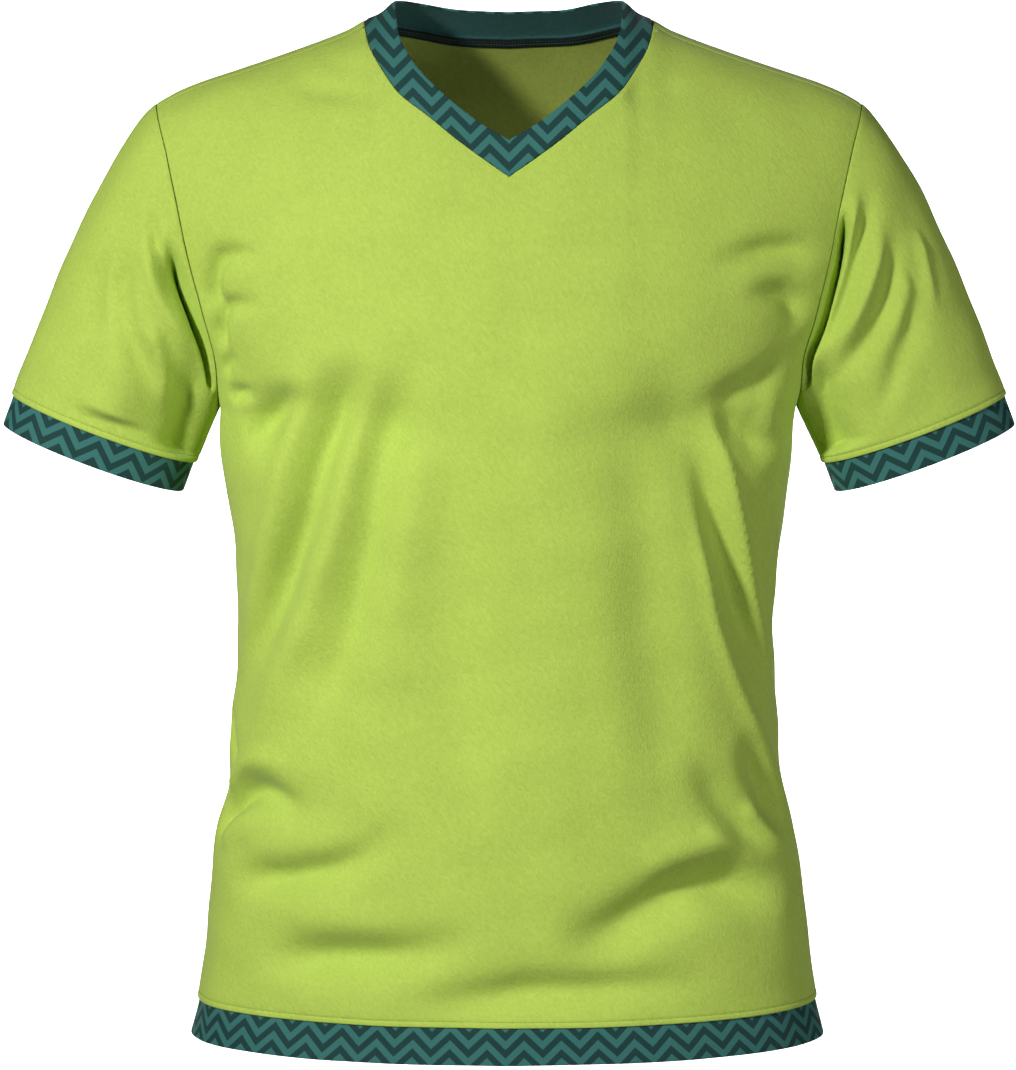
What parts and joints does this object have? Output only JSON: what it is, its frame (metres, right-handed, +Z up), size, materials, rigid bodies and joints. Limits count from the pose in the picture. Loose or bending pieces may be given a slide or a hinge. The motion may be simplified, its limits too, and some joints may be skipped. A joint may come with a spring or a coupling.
{
  "type": "v-neck t-shirt, filled out as worn",
  "caption": "Short-sleeved v-neck t-shirt with zigzag-knit contrast bands at the neck, cuffs and hem, filled out as worn, with no wearer.",
  "frame": {"origin": "midway between the two neck points, on the shoulder line, where the wearer's shoulders hold the shirt up", "axes": "+Z up, -Y out of the front, +X to the right as the front is looked at (the wearer's left)"},
  "size_m": [0.6956, 0.2341, 0.7193],
  "materials": {
    "jersey": "lime green brushed cotton jersey, matt",
    "zigzag_band": "two-tone teal zigzag knit, matt",
    "neck_tape": "dark teal neck tape with two rows of stitches, matt"
  },
  "bodies": {
    "root": {"front_panel": "jersey", "back_panel": "jersey", "sleeve_left": "jersey", "sleeve_right": "jersey", "cuff_band_left": "zigzag_band", "cuff_band_right": "zigzag_band", "hem_band": "zigzag_band", "neckband": "zigzag_band", "neck_tape": "neck_tape"}
  },
  "joints": []
}
